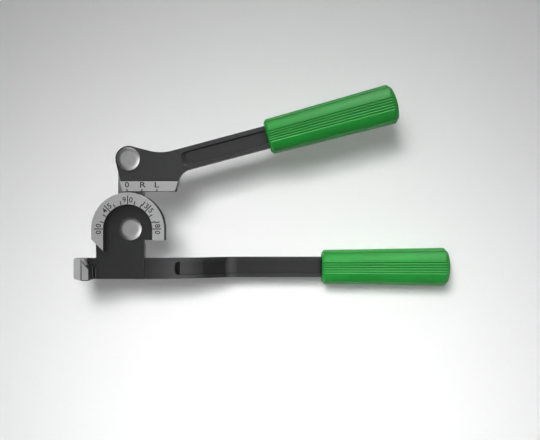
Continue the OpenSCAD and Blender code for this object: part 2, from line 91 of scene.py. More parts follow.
# Edges sharper than this stay sharp on a grip, in degrees.
GRIP_SHARP_EDGE = 40

# A grip has a group of fine grooves in front and one behind, each with a single groove at either
# side.
GROUP_GROOVES, SINGLE_GROOVES = 5, 2
# The columns across a groove reach this many times its half width, so that its edges are met.
# Columns whose angles agree to this many decimals become one.
GROOVE_SPAN, ANGLE_DECIMALS = 1.02, 4
# What stands for a place across a groove (-1 to 1) where there is no groove.
OUTSIDE = 2.0
# Where across a groove its wall with painted shade and its wall with a painted highlight have
# their middles, and how far they reach.
GROOVE_WALLS = {"dirt": (-0.4, 0.6), "lip": (0.7, 0.45)}

# The scale's ticks, in degrees: from, to, step, and the step of the long ones.
TICKS_FIRST, TICKS_LAST, TICK_STEP, LONG_STEP = 0, 180, 15, 45
# The scale's figures: their degrees, what stands at the left and at the right of the tick, and how
# far they are moved outwards.
FIGURES = (
    (0, "0", "0", 0.0),
    (45, "4", "5", 0.0),
    (90, "9", "0", 0.0),
    (135, "13", "5", 0.4 * MM),
    (180, "18", "0", 0.7 * MM),
)
# The shoe's letters: the text, the setting of its stretch, and how far it stands from its tick.
LETTERS = (
    ("0", "zero_stretch", 0.0),
    ("R", "letter_stretch", 0.9 * MM),
    ("L", "letter_stretch", 0.1 * MM),
)
# The size at which a font is set for figures one high.
FONT_SIZE = 1.4

# The lights that only glossy faces show: name, place, what it faces, side, the setting of its power.
MIRRORED_LIGHTS = (
    ("softbox", (0.8, -0.65, 2.2), (0.8, -0.65, 0.0), 2.6, "softbox_power"),
    ("gloss_panel", (0.9, -0.4, 1.6), (0.1, 0.0, 0.0), 1.1, "gloss_power"),
    ("back_panel", (0.25, 1.5, 0.55), (0.15, 0.0, 0.0), 1.1, "back_power"),
    ("left_panel", (-1.5, 1.2, 0.5), (0.1, 0.0, 0.0), 1.0, "side_power"),
    ("front_panel", (-1.1, -1.5, 0.5), (0.1, 0.0, 0.0), 1.0, "side_power"),
    ("right_panel", (1.4, -1.5, 0.45), (0.1, 0.0, 0.0), 1.0, "side_power"),
)
# The nearest and the furthest that the camera sees, in metres.
CLIP_NEAR, CLIP_FAR = 0.01, 50


def number(name, description, default, **more):
    """A plain number, or one with the unit or limits that are given."""
    return FloatProperty(name=name, description=description, default=default, **more)


def length(name, description, default):
    """A size in metres that shows in the sidebar in the scene's unit of length."""
    return number(name, description, default, unit="LENGTH", precision=5)


def angle(name, description, degrees):
    """An angle that is kept in radians and shows in degrees."""
    return number(name, description, math.radians(degrees), unit="ROTATION")


def share(name, description, default):
    """A plain number from nought to one."""
    return number(name, description, default, subtype="FACTOR", min=0, max=1)


def power(name, description, default):
    """The power of a light, in watts."""
    return number(name, description, default, unit="POWER")


def place(name, description, default):
    """A place in metres."""
    return FloatVectorProperty(
        name=name, description=description, default=default, unit="LENGTH", precision=5)


def colour(name, description, default):
    """A linear colour."""
    return FloatVectorProperty(
        name=name, description=description, default=default, subtype="COLOR", min=0, max=1)


class ForgingForm(bpy.types.PropertyGroup):
    """Where the forgings are ground bare, where painted shade darkens their coat, and where it is
    duller.
    """

    ground_skin: length("Ground skin", "Depth to which a ground face counts as bare", 0.05 * MM)
    jaw_front: length("Jaw front", "Height from which the jaw's front is bare", 15.5 * MM)
    jaw_foot: length("Jaw foot", "Lower edge of the jaw's bare front", -41.6 * MM)
    jaw_low: length("Jaw low", "Lower limit of all bare steel on the jaw", -42.2 * MM)
    jaw_high: length("Jaw high", "Upper limit of all bare steel on the jaw", -24.8 * MM)
    flank_bright: length("Flank bright", "Right edge of the side's brighter part", -38.8 * MM)
    flank_faint: length("Flank faint", "Right edge of the side's fainter part", -36.6 * MM)
    flank_bottom: length("Flank bottom", "Height from which the jaw's side is bare", -8.9 * MM)
    faint_share: share("Faint share", "How bare the side's fainter part is", 0.25)
    bright_share: share("Bright share", "How much barer the side's brighter part is", 0.7)
    cut_x: length("Cut x", "Place along X of a point on the jaw's slanting cut", -31 * MM)
    cut_y: length("Cut y", "Place along Y of a point on the jaw's slanting cut", -32 * MM)
    cut_angle: angle("Cut angle", "Slope of the jaw's slanting cut", 50)
    cut_margin: length("Cut margin", "Coated margin of the jaw's front along the cut", 0.7 * MM)
    wall_skin: length("Wall skin", "Depth to which the cut's wall counts as bare", 0.06 * MM)
    wall_end: length("Wall end", "Right edge of the bare part of the cut's wall", -33 * MM)
    wall_low: length("Wall low", "Height from which the cut's wall grows bare", 1 * MM)
    wall_high: length("Wall high", "Height from which the cut's wall is quite bare", 6 * MM)
    channel_left: length("Channel left", "Left end of the dull channel by the jaw", -38 * MM)
    channel_right: length("Channel right", "Right end of the dull channel", -31.5 * MM)
    channel_top: length("Channel top", "Upper edge of the dull channel", -30 * MM)
    channel_low: length("Channel low", "Height from which the channel is dull", -12 * MM)
    pocket_half: length("Pocket half", "Half the width of the bars' black pockets", 5.7 * MM)
    handle_pocket: length("Handle pocket", "Where the handle's pocket starts along X", 36.7 * MM)
    lever_pocket: length("Lever pocket", "Start of the lever's pocket from its pin", 42.4 * MM)
    pocket_lip: length("Pocket lip", "Depth at which the lever's pocket starts", 0.2 * MM)
    pocket_depth: length("Pocket depth", "Depth at which the lever's pocket ends", 3 * MM)
    # The pocket's corner at its end near the pin gets a painted shadow: where it ends, how high it
    # reaches and how dark it is.
    corner_end: length("Corner end", "End of the pocket's blacker corner from the pin", 47.5 * MM)
    corner_top: length("Corner top", "Upper edge of the pocket's blacker corner", -2.5 * MM)
    corner_share: share("Corner share", "How much blacker the pocket's corner is", 0.7)


class GripForm(bpy.types.PropertyGroup):
    """Sizes of the moulded grips."""

    front_radius: length("Front radius", "Radius behind the front bevel", 14.8 * MM)
    rear_radius: length("Rear radius", "Radius before the rear bevel", 16.6 * MM)
    front_bevel: length("Front bevel", "Length of the front bevel", 1.9 * MM)
    front_drop: length("Front drop", "Depth of the front bevel", 2.4 * MM)
    rear_bevel: length("Rear bevel", "Size of the rear bevel", 3.3 * MM)
    dome: length("Dome", "Rise of the dome on the rear end", 2.2 * MM)
    edge: length("Edge", "Radius of the softened edges", 0.45 * MM)
    groove: length("Groove", "Half the width of the grooves", 0.8 * MM)
    groove_depth: length("Groove depth", "Depth of the grooves", 0.8 * MM)
    groove_step: angle("Groove step", "Angle between the grooves of a group", 8)
    single_angle: angle("Single groove", "Angle of the single grooves from a group's middle", 57)
    single_groove: length("Single groove width", "Half the width of the single grooves", 0.95 * MM)
    socket_depth: length("Socket depth", "Depth of the socket round the bar", 12 * MM)
    socket_clearance: length("Socket clearance", "Clearance between bar and socket", 0.1 * MM)
    lower_roll: angle("Lower roll", "Roll of the lower grip about its bar", 1.2)
    upper_roll: angle("Upper roll", "Roll of the upper grip about its bar", 4.2)
    lever_slope: angle("Lever slope", "Slope of the lever's bar", 15)
    lever_start: length("Lever start", "Distance of the upper grip from the lever's pin", 116 * MM)
    lever_drop: length("Lever drop", "Distance of the lever's pin from its bar's centreline", 12 * MM)
    lower_bar: length("Lower bar", "Width of the bar in the lower grip", 17.6 * MM)
    upper_bar: length("Upper bar", "Width of the bar in the upper grip", 18.8 * MM)
    bar_thickness: length("Bar thickness", "Thickness of both bars", 8 * MM)
    mouth_depth: length("Mouth depth", "Depth of the widened mouth of the socket", 0.3 * MM)
    mouth_width: number("Mouth width", "Width of the mouth, in widths of the socket", 1.03)
    face_ring: share("Face ring", "Inner radius of the front face's round part", 0.75)


class PinForm(bpy.types.PropertyGroup):
    """Sizes of the turned pins."""

    shank: length("Shank", "Radius of the shank", 5 * MM)
    head: length("Head", "Radius of the head", 9.6 * MM)
    head_height: length("Head height", "Height of the head", 2.8 * MM)
    flat: length("Flat", "Radius of the head's flat", 5.9 * MM)
    rim: length("Rim", "Height of the head's upright rim", 2.1 * MM)
    groove_low: length("Groove low", "Lower side of the ring groove", -19.1 * MM)
    groove_high: length("Groove high", "Upper side of the ring groove", -18.1 * MM)
    groove_depth: length("Groove depth", "Depth of the ring groove", 0.7 * MM)
    bevel: length("Bevel", "Bevel on the end", 0.7 * MM)
    seat: length("Seat", "Height of the centre pin's head seat", -7.3 * MM)
    lever_seat: length("Lever seat", "Height of the lever pin's head seat", 3.2 * MM)
    softening: length("Softening", "Radius of the softened corners", 0.12 * MM)


class MarkForm(bpy.types.PropertyGroup):
    """Sizes of the scale marks."""

    rise: length("Rise", "Height of the marks above the ground faces", 0.04 * MM)
    line: length("Line", "Width of the tick marks", 0.85 * MM)
    inner: length("Inner", "Radius at which the ticks start", 20.4 * MM)
    long_tick: length("Long tick", "Radius at which the long ticks end", 27.6 * MM)
    short_tick: length("Short tick", "Radius at which the short ticks end", 23.6 * MM)
    figure_radius: length("Figure radius", "Radius of the figures' middles", 24.2 * MM)
    figure_height: length("Figure height", "Height of the figures", 4.5 * MM)
    figure_offset: angle("Figure offset", "Angle of a figure from its tick", 6.6)
    pair_offset: angle("Pair offset", "Angle of a pair of figures from its tick", 8)
    stroke: length("Stroke", "Thickening of the figures' and letters' strokes", 0.1 * MM)
    zero_stretch: number("Zero stretch", "Widening of the nought on the shoe", 1.2)
    letter_stretch: number("Letter stretch", "Widening of the letters", 1.34)
    shoe_edge: length("Shoe edge", "Place along Y of the shoe's lower edge", 31.1 * MM)
    shoe_first: length("Shoe first", "Place along X of the shoe's first tick", -0.5 * MM)
    shoe_line: length("Shoe line", "Width of the ticks on the shoe", 1.0 * MM)
    shoe_margin: length("Shoe margin", "Distance of the ticks from the shoe's edge", 0.1 * MM)
    shoe_tick: length("Shoe tick", "Distance of the ticks' ends from the shoe's edge", 1.9 * MM)
    shoe_step: length("Shoe step", "Distance between the ticks on the shoe", 12.3 * MM)
    letter_height: length("Letter height", "Height of the letters on the shoe", 4.5 * MM)
    letter_middle: length("Letter middle", "Distance of the letters from the shoe's edge", 5.4 * MM)


class Finishes(bpy.types.PropertyGroup):
    """Colours, roughness and wear of the finishes."""

    black: colour("Black coat", "Colour of the coat on the forgings", (0.006, 0.006, 0.0062))
    lever_black: colour("Lever's black coat", "Colour of the coat on the lever", (0.017, 0.017, 0.0173))
    black_rough: share("Black coat roughness", "Roughness of the coat on the forgings", 0.35)
    ground: colour("Ground steel", "Colour of the ground faces", (0.61, 0.61, 0.612))
    ground_rough: share("Ground steel roughness", "Roughness of the ground faces", 0.42)
    turned: colour("Turned steel", "Colour of the pins", (0.50, 0.50, 0.50))
    turned_rough: share("Turned steel roughness", "Roughness of the pins", 0.3)
    grey: colour("Grey steel", "Colour of the link", (0.42, 0.42, 0.423))
    grey_rough: share("Grey steel roughness", "Roughness of the link", 0.38)
    bronze: colour("Bronze", "Colour of the bushes and thrust washers", (0.45, 0.28, 0.11))
    green: colour("Green", "Colour of the grips", (0.011, 0.32, 0.034))
    # Painted highlight: the colour that makes one wall of each groove paler.
    lip: colour("Groove lip", "Colour of the rubbed lips of the grips' grooves", (0.13, 0.48, 0.17))
    green_rough: share("Green roughness", "Roughness of the grips", 0.48)
    mark: colour("Marks", "Colour of the scale marks", (0.012, 0.012, 0.012))
    floor: colour("Floor", "Colour of the floor", (0.82, 0.82, 0.82))
    small_rough: share("Small parts' roughness", "Roughness of screws, dowels and rings", 0.34)
    bronze_rough: share("Bronze roughness", "Roughness of the bushes and thrust washers", 0.36)
    small_light: number("Small parts' lightness", "Their lightness, in that of the link", 1.6)
    # Painted shade: the colour that the coat is darkened towards in the pockets.
    deep: colour("Pocket black", "Colour that the coat nears in the pockets", (0.001, 0.001, 0.001))
    worn: share("Worn edges", "How much steel shows through the coat's worn edges", 0.12)
    worn_metal: share("Worn metal", "How metallic the coat's worn edges are", 0.15)
    # How strongly painted shade darkens the coat in the pockets.
    pocket: share("Pocket", "How much blacker the coat is in the pockets", 0.85)
    dullness: share("Dullness", "How much rougher the coat is where it is dull", 0.4)
    # How strongly painted shade darkens one wall of each groove.
    dirt: share("Dirt", "How much dirt lies on a groove's dirty wall", 0.65)
    # How strongly a painted highlight makes the other wall of each groove paler.
    rubbed: share("Rubbed", "How much of a groove's other wall is rubbed", 0.8)


class StageSetting(bpy.types.PropertyGroup):
    """Camera, lights and floor."""

    eye: place("Eye", "Place of the camera", (0.1174, 0.00742, 0.7482))
    lens: number("Lens", "Focal length of the camera in millimetres", 59.86)
    sensor: number("Sensor", "Width of the camera's sensor in millimetres", 36)
    key_place: place("Key place", "Place of the key light", (-0.07, 0.31, 1.1))
    key_aim: place("Key aim", "What the key light faces", (0.156, -0.26, FLOOR_HEIGHT))
    key_power: power("Key power", "Power of the key light", 1.73)
    key_size: length("Key size", "Width of the key light", 0.55)
    key_spread: angle("Key spread", "Angle of the key light's beam", 43.8)
    softbox_power: power("Softbox power", "Power of the wide softbox overhead", 14.2)
    gloss_power: power("Gloss power", "Power of the panel at the right", 6.5)
    back_power: power("Back power", "Power of the low panel behind, for the grips", 38)
    side_power: power("Side power", "Power of each low panel, for the side views", 1.5)
    floor_glow: number("Floor glow", "Strength of the floor's own light, as on a light table", 0.15)
    floor_half: length("Floor half", "Half the side of the floor", 12)
    world_strength: number("World strength", "Strength of the even light all round", 0.1)


GROUPS = {
    "bender_forgings": ForgingForm,
    "bender_grips": GripForm,
    "bender_pins": PinForm,
    "bender_marks": MarkForm,
    "bender_finishes": Finishes,
    "bender_stage": StageSetting,
}


class Val:
    """A shader socket that Python's own operators work on, through Math nodes."""

    def __init__(self, maker, socket):
        self.maker, self.socket = maker, socket

    def _math(self, operation, *values, clamp=False):
        settings = {"operation": operation, "use_clamp": clamp}
        sockets = {str(index): value for index, value in enumerate(values)}
        return Val(self.maker, self.maker.node("ShaderNodeMath", settings, **sockets).outputs[0])

    def __add__(self, other):
        return self._math("ADD", self, other)

    __radd__ = __add__

    def __sub__(self, other):
        return self._math("SUBTRACT", self, other)

    def __rsub__(self, other):
        return self._math("SUBTRACT", other, self)

    def __mul__(self, other):
        return self._math("MULTIPLY", self, other)

    __rmul__ = __mul__

    def __abs__(self):
        return self._math("ABSOLUTE", self)

    def above(self, other):
        """One where the value is greater than the other, else nought."""
        return self._math("GREATER_THAN", self, other)

    def below(self, other):
        """One where the value is less than the other, else nought."""
        return self._math("LESS_THAN", self, other)

    def between(self, low, high):
        """One where the value lies between two others, else nought."""
        return self.above(low) * self.below(high)

    def most(self, other):
        """The greater of two values."""
        return self._math("MAXIMUM", self, other)

    def sine(self):
        return self._math("SINE", self)

    def root(self):
        return self._math("SQRT", self)

    def held(self):
        """The value kept between nought and one."""
        return self._math("ADD", self, 0.0, clamp=True)

    def ramp(self, low, high):
        """A straight rise from nought at low to one at high."""
        return ((self - low) * (1.0 / (high - low))).held()


def uneven(level, *patterns):
    """A level that every pattern, given with its amount, moves up and down by half that amount."""
    for pattern, amount in patterns:
        level = level + (pattern - 0.5) * amount
    return level


def times(tint, factor):
    """A colour made lighter or darker by a factor, with no channel above one."""
    return tuple(min(1.0, factor * channel) for channel in tint)


class Finish:
    """A material in the making. One method adds any node; the rest are the patterns used here."""

    def __init__(self, name):
        self.material = bpy.data.materials.new(name)
        self.material.use_nodes = True
        self.tree = self.material.node_tree
        self.tree.nodes.clear()
        self.here = self.node("ShaderNodeTexCoord").outputs["Object"]

    def node(self, kind, settings=None, **sockets):
        """A node of a kind, with its settings first and then its sockets' values or links."""
        node = self.tree.nodes.new(kind)
        for key, value in (settings or {}).items():
            setattr(node, key, value)
        for key, value in sockets.items():
            self.feed(node, key.replace("_", " "), value)
        return node

    def feed(self, node, key, value):
        """Sets or links one socket of a node."""
        socket = node.inputs[int(key)] if key.isdigit() else node.inputs[key]
        if isinstance(value, Val):
            value = value.socket
        if isinstance(value, bpy.types.NodeSocket):
            self.tree.links.new(value, socket)
        else:
            socket.default_value = value

    def axes(self):
        """The place on the piece, as three numbers in metres."""
        split = self.node("ShaderNodeSeparateXYZ", Vector=self.here)
        return [Val(self, split.outputs[i]) for i in range(3)]

    def attribute(self, name):
        """A number that the mesh keeps on its points."""
        return Val(self, self.node("ShaderNodeAttribute", {"attribute_name": name}).outputs["Fac"])

    def noise(self, waves, detail=3.0, rough=0.5, stretch=None):
        """Soft noise with this many waves to the metre, stretched along an axis where asked."""
        at = self.here
        if stretch is not None:
            at = self.node("ShaderNodeMapping", Vector=self.here, Scale=stretch).outputs[0]
        node = self.node("ShaderNodeTexNoise", Vector=at, Scale=waves, Detail=detail, Roughness=rough)
        return Val(self, node.outputs[0])

    def mix(self, factor, low, high):
        """Between two colours or linked colours by a factor."""
        first, second = (
            value if isinstance(value, bpy.types.NodeSocket) else (*value[:3], 1)
            for value in (low, high))
        sockets = {"0": factor, "6": first, "7": second}
        return self.node("ShaderNodeMix", {"data_type": "RGBA"}, **sockets).outputs[2]

    def shades(self, pattern, tint, darker, lighter):
        """A colour that a pattern takes from one shade of it to another."""
        return self.mix(pattern, times(tint, darker), times(tint, lighter))

    def rounded_normal(self, radius, samples=6):
        """The surface's normal with its edges softened over a radius."""
        return self.node("ShaderNodeBevel", {"samples": samples}, Radius=radius).outputs[0]

    def edge_mask(self, radius, first=0.01, full=0.16):
        """One on outer and inner edges, fading to nought a radius away.

        It rises with one less the cosine between the softened and the true normal, from where
        that is first to where it is full.
        """
        soft = self.rounded_normal(radius)
        hard = self.node("ShaderNodeNewGeometry").outputs["Normal"]
        sockets = {"0": soft, "1": hard}
        cosine = self.node("ShaderNodeVectorMath", {"operation": "DOT_PRODUCT"}, **sockets)
        return (1.0 - Val(self, cosine.outputs["Value"])).ramp(first, full)

    def bump(self, height, distance, strength=1.0, normal=None):
        """The normal that a height in metres gives."""
        node = self.node("ShaderNodeBump", Strength=strength, Distance=distance, Height=height)
        if normal is not None:
            self.feed(node, "Normal", normal)
        return node.outputs[0]

    def surface(self, constants, **inputs):
        """Ends the material with a Principled shader."""
        shader = self.node("ShaderNodeBsdfPrincipled")
        for key, value in constants.items():
            shader.inputs[key].default_value = value
        for key, value in inputs.items():
            self.feed(shader, key.replace("_", " "), value)
        out = self.node("ShaderNodeOutputMaterial")
        self.tree.links.new(shader.outputs[0], out.inputs["Surface"])
        return self.material


def put_on(material, *names):
    """Puts a material on CAD nodes."""
    for name in names:
        for slot in frame["nodes"][name].material_slots:
            slot.link = "OBJECT"
            slot.material = material


def coat_over_ground_steel(name, settings, coat, bare, pocket=None, dull=None):
    """A satin black coat with ground steel where bare(finish) is one.

    The coat has a fine stipple and lighter worn edges. Painted shade darkens it towards a near black
    where pocket(finish) is one, and it is rougher where dull(finish) is. The steel has fine straight
    grinding lines.
    """
    line_height = 0.35
    finish = Finish(name)
    mask = bare(finish)
    coated = 1.0 - mask
    stipple = finish.noise(waves=2600, detail=4, rough=0.6)
    cloud = finish.noise(waves=45, detail=4, rough=0.6)
    lines = finish.noise(waves=900, detail=3, rough=0.7, stretch=(0.12, 5.0, 1.0))
    worn = finish.edge_mask(0.3 * MM) * finish.noise(waves=160, detail=4, rough=0.7).ramp(0.42, 0.7)
    black = finish.shades(cloud.ramp(0.3, 0.75), coat, darker=0.86, lighter=1.22)
    black = finish.mix(worn * settings.worn, black, settings.ground)
    coat_rough = uneven(settings.black_rough, (cloud, 0.16))
    # Painted shade: the coat is darkened towards a near black in the pockets.
    if pocket is not None:
        black = finish.mix(pocket(finish) * settings.pocket, black, settings.deep)
    if dull is not None:
        coat_rough = coat_rough + dull(finish) * settings.dullness
    steel = finish.shades(lines.ramp(0.3, 0.7), settings.ground, darker=0.93, lighter=1.05)
    metal = mask + coated * worn * settings.worn_metal
    steel_rough = uneven(settings.ground_rough, (lines, 0.18))
    height = stipple * coated + lines * mask * line_height
    soft = finish.rounded_normal(0.16 * MM)
    return finish.surface(
        {"Specular IOR Level": 0.57, "IOR": 1.5},
        Base_Color=finish.mix(mask, black, steel),
        Metallic=metal,
        Roughness=steel_rough * mask + coat_rough * coated,
        Normal=finish.bump(height, distance=0.045 * MM, strength=0.5, normal=soft))


def plain_steel(name, tint, rough, waves=900, stretch=(0.15, 4.0, 1.0)):
    """Bare steel with fine lines across its faces, worn brighter on its edges."""
    rubbed, brightness = 0.4, 1.5
    finish = Finish(name)
    lines = finish.noise(waves, detail=4, rough=0.65, stretch=stretch)
    cloud = finish.noise(waves=70, detail=4, rough=0.6)
    edge = finish.edge_mask(0.35 * MM)
    base = finish.shades(cloud.ramp(0.3, 0.7), tint, darker=0.88, lighter=1.08)
    soft = finish.rounded_normal(0.2 * MM)
    return finish.surface(
        {},
        Base_Color=finish.mix(edge * rubbed, base, times(tint, brightness)),
        Metallic=1.0,
        Roughness=uneven(rough, (lines, 0.15), (cloud, 0.12)),
        Normal=finish.bump(lines, distance=0.02 * MM, strength=0.4, normal=soft))


def turned_steel(name, tint, rough, axis, pitch=0.35 * MM):
    """Bright steel with the fine rings that a lathe leaves, round an axis along Z.

    The rings are the sine of the distance from the axis, one wave to the pitch of the tool, and
    wander a little.
    """
    wander, ring_height, grain_height, ring_rough = 4.0, 0.5, 0.6, 0.015
    finish = Finish(name)
    x, y, _ = finish.axes()
    radius = ((x - axis.x) * (x - axis.x) + (y - axis.y) * (y - axis.y)).root()
    rings = (radius * (2 * math.pi / pitch) + finish.noise(waves=300, detail=2) * wander).sine()
    cloud = finish.noise(waves=220, detail=4, rough=0.6)
    height = rings * ring_height + finish.noise(waves=1500, detail=3) * grain_height
    return finish.surface(
        {},
        Base_Color=finish.shades(cloud.ramp(0.3, 0.7), tint, darker=0.94, lighter=1.04),
        Metallic=1.0,
        Roughness=uneven(rough, (cloud, 0.12)) + rings * ring_rough,
        Normal=finish.bump(height, distance=0.008 * MM, strength=0.35))


def soft_plastic(name, settings):
    """Moulded green plastic with a fine matte grain and faint clouds. Each groove has painted shade on
    one wall, and a painted highlight makes its other wall paler."""
    gain, fleck_share, fleck_light, shade_lightness = 1.3, 0.08, 1.5, 0.3
    finish = Finish(name)
    tint = settings.green
    dirt, lip = ((finish.attribute(key) * gain).held() for key in GROOVE_WALLS)
    grain = finish.noise(waves=3200, detail=3, rough=0.6)
    cloud = finish.noise(waves=28, detail=4, rough=0.6)
    fleck = finish.noise(waves=520, detail=4, rough=0.7)
    base = finish.shades(cloud.ramp(0.3, 0.7), tint, darker=0.93, lighter=1.07)
    base = finish.mix(fleck.ramp(0.62, 0.8) * fleck_share, base, times(tint, fleck_light))
    # Painted shade darkens one wall of each groove.
    base = finish.mix(dirt * settings.dirt, base, times(tint, shade_lightness))
    return finish.surface(
        {"Specular IOR Level": 0.22},
        # A painted highlight makes the other wall of each groove paler.
        Base_Color=finish.mix(lip * settings.rubbed, base, settings.lip),
        Roughness=uneven(settings.green_rough, (cloud, 0.08), (grain, 0.1)),
        Normal=finish.bump(grain, distance=0.03 * MM, strength=0.35))


def etched_mark(name, tint):
    """Dark filled marks with a slightly uneven fill."""
    finish = Finish(name)
    patch = finish.noise(waves=900, detail=4, rough=0.7)
    base = finish.shades(patch.ramp(0.35, 0.75), tint, darker=1.0, lighter=3.0)
    return finish.surface({}, Base_Color=base, Roughness=uneven(0.5, (patch, 0.3)))


def grid_mesh(name, grid, material, smooth_degrees=32):
    """A closed skin over a grid of points, rows by columns, whose columns close on themselves.

    Each quad joins point (i, j) to (i, j + 1), (i + 1, j + 1) and (i + 1, j); the first and the
    last row are closed by a fan to their middle point.
    """
    rows, columns = grid.shape[:2]
    first, last = grid[0].mean(0), grid[-1].mean(0)
    points = np.vstack([grid.reshape(-1, 3), first, last])
    index = np.arange(rows * columns).reshape(rows, columns)
    beside = np.roll(index, -1, axis=1)
    quads = np.stack([index[:-1], beside[:-1], beside[1:], index[1:]], axis=-1).reshape(-1, 4)
    start = np.full(columns, rows * columns)
    fans = np.vstack([
        np.stack([start, beside[0], index[0]], axis=-1),
        np.stack([start + 1, index[-1], beside[-1]], axis=-1)])
    mesh = bpy.data.meshes.new(name)
    mesh.from_pydata(points.tolist(), [], quads.tolist() + fans.tolist())
    mesh.validate()
    mesh.shade_smooth()
    mesh.set_sharp_from_angle(angle=math.radians(smooth_degrees))
    mesh.materials.append(material)
    piece = bpy.data.objects.new(name, mesh)
    bpy.context.scene.collection.objects.link(piece)
    return piece


def eased(corners, radius, steps=5):
    """A profile whose corners are rounded: each is replaced by points on a quadratic curve that
    starts and ends a radius (or half an edge, if shorter) away from it."""
    corners = np.asarray(corners, float)
    out = [corners[:1]]
    t = np.linspace(0, 1, steps)[:, None]
    for before, at, after in zip(corners[:-2], corners[1:-1], corners[2:]):
        back, ahead = before - at, after - at
        reach_back = min(radius, np.linalg.norm(back) / 2)
        reach_ahead = min(radius, np.linalg.norm(ahead) / 2)
        p = at + back / np.linalg.norm(back) * reach_back
        q = at + ahead / np.linalg.norm(ahead) * reach_ahead
        out.append((1 - t) ** 2 * p + 2 * t * (1 - t) * at + t ** 2 * q)
    out.append(corners[-1:])
    return np.vstack(out)


def turned_grid(profile, centre, columns):
    """A profile of (radius, height) points turned about the upright line through a centre:
    the point at the angle a is (r cos a, r sin a, h)."""
    a = np.linspace(0, 2 * math.pi, columns, endpoint=False)
    radius, height = profile[:, :1], profile[:, 1:]
    return np.stack([
        centre[0] + radius * np.cos(a), centre[1] + radius * np.sin(a),
        np.broadcast_to(height, (len(profile), columns))], axis=-1)


def pin_profile(form, seat, end):
    """A pin's profile from the middle of its end up its shank and over its domed head.

    The head's edge falls away from the flat as a parabola, steepest at the upright rim.
    """
    top = seat + form.head_height
    neck = form.shank - form.groove_depth
    low = eased([
        (POLE_SHARE * form.shank, end), (form.shank - form.bevel, end),
        (form.shank, end + form.bevel), (form.shank, form.groove_low),
        (neck, form.groove_low), (neck, form.groove_high), (form.shank, form.groove_high),
        (form.shank, seat), (form.head, seat), (form.head, seat + form.rim)], form.softening)
    s = np.linspace(0, 1, HEAD_ROWS)
    edge = np.stack([
        form.head + (form.flat - form.head) * s,
        top - (form.head_height - form.rim) * (1 - s) ** 2], axis=-1)
    flat = np.array([(0.5 * form.flat, top), (POLE_SHARE * form.flat, top)])
    return np.vstack([low, edge, flat])


def grip_profile(form, grip_length):
    """The grip's profile as (distance, radius) points from the middle of its rear end forwards.

    The dome falls back with the square of the radius. The body is a straight taper between two
    bevels, with its corners softened.
    """
    rear_x = grip_length - form.dome - form.rear_bevel
    end_radius = form.rear_radius - form.rear_bevel
    face_radius = form.front_radius - form.front_drop
    a = np.linspace(POLE_SHARE, 1, DOME_ROWS)
    dome = np.stack([grip_length - form.dome * a ** 2, end_radius * a], axis=-1)
    body = np.array([
        (grip_length - form.dome, end_radius), (rear_x, form.rear_radius),
        (form.front_bevel, form.front_radius), (0.0, face_radius),
        (0.0, form.face_ring * face_radius)])
    return eased(np.vstack([dome[:-1], body]), form.edge, GRIP_CORNER_POINTS)


def grip_grid(form, grip_length, bar_width, roll):
    """A grip along +X as a grid: stations along its profile by angles round it.

    The radius at a station is the profile's, but no more than the taper's less the depth of the
    groove there, D (1 - d / g) for a groove of depth D and half width g at the arc distance d.
    The grooves are rolled about the bar. The front face narrows from the round to the rectangle
    of the bar, whose wall then runs inwards. The second array tells how far across a groove each
    point lies, from -1 to 1 with the angle, and is OUTSIDE where there is no groove.
    """
    group = (np.arange(GROUP_GROOVES) - GROUP_GROOVES // 2) * form.groove_step
    one_side = np.concatenate([group, [-form.single_angle, form.single_angle]])
    grooves = np.concatenate([one_side + math.pi / 2, one_side - math.pi / 2]) + roll
    half_width = np.tile(
        [form.groove] * GROUP_GROOVES + [form.single_groove] * SINGLE_GROOVES, 2)[:, None]
    reach = half_width / form.front_radius
    steps = np.linspace(-GROOVE_SPAN, GROOVE_SPAN, GROOVE_COLUMNS)
    corner = math.atan2(form.bar_thickness, bar_width)
    angles = np.unique(np.round(np.concatenate([
        np.linspace(0, 2 * math.pi, GRIP_COLUMNS, endpoint=False),
        (grooves[:, None] + reach * steps).ravel() % (2 * math.pi),
        [corner, math.pi - corner, math.pi + corner, 2 * math.pi - corner]]), ANGLE_DECIMALS))

    profile = grip_profile(form, grip_length)
    x, r = profile[:, :1], profile[:, 1:]
    rear_x = grip_length - form.dome - form.rear_bevel
    slope = (form.rear_radius - form.front_radius) / (rear_x - form.front_bevel)
    taper = form.front_radius + slope * (x - form.front_bevel)
    turn = (angles[None, :] - grooves[:, None] + math.pi) % (2 * math.pi) - math.pi
    nearest = np.abs(turn / half_width).argmin(0)
    across = np.take_along_axis(turn / half_width, nearest[None, :], 0) * taper
    cut = form.groove_depth * np.clip(1 - np.abs(across), 0, None)
    radius = np.minimum(r, taper - cut)
    across = np.where((radius < r) & (np.abs(across) < 1), across, OUTSIDE)

    half_w = bar_width / 2 + form.socket_clearance
    half_t = form.bar_thickness / 2 + form.socket_clearance
    with np.errstate(divide="ignore"):
        hole = np.minimum(half_w / np.abs(np.cos(angles)), half_t / np.abs(np.sin(angles)))
    socket_x = np.array([0.0, form.mouth_depth, form.socket_depth])[:, None]
    socket_r = hole[None, :] * np.array([form.mouth_width, 1.0, 1.0])[:, None]
    x = np.vstack([np.broadcast_to(x, radius.shape), np.broadcast_to(socket_x, socket_r.shape)])
    radius = np.vstack([radius, socket_r])
    across = np.vstack([across, np.full(socket_r.shape, OUTSIDE)])
    return np.stack([x, radius * np.cos(angles), radius * np.sin(angles)], axis=-1), across


def placed(grid, turn, at):
    """A grid turned about the upright axis, then moved."""
    c, s = math.cos(turn), math.sin(turn)
    return grid @ np.array([(c, s, 0), (-s, c, 0), (0, 0, 1)]) + np.array(at)


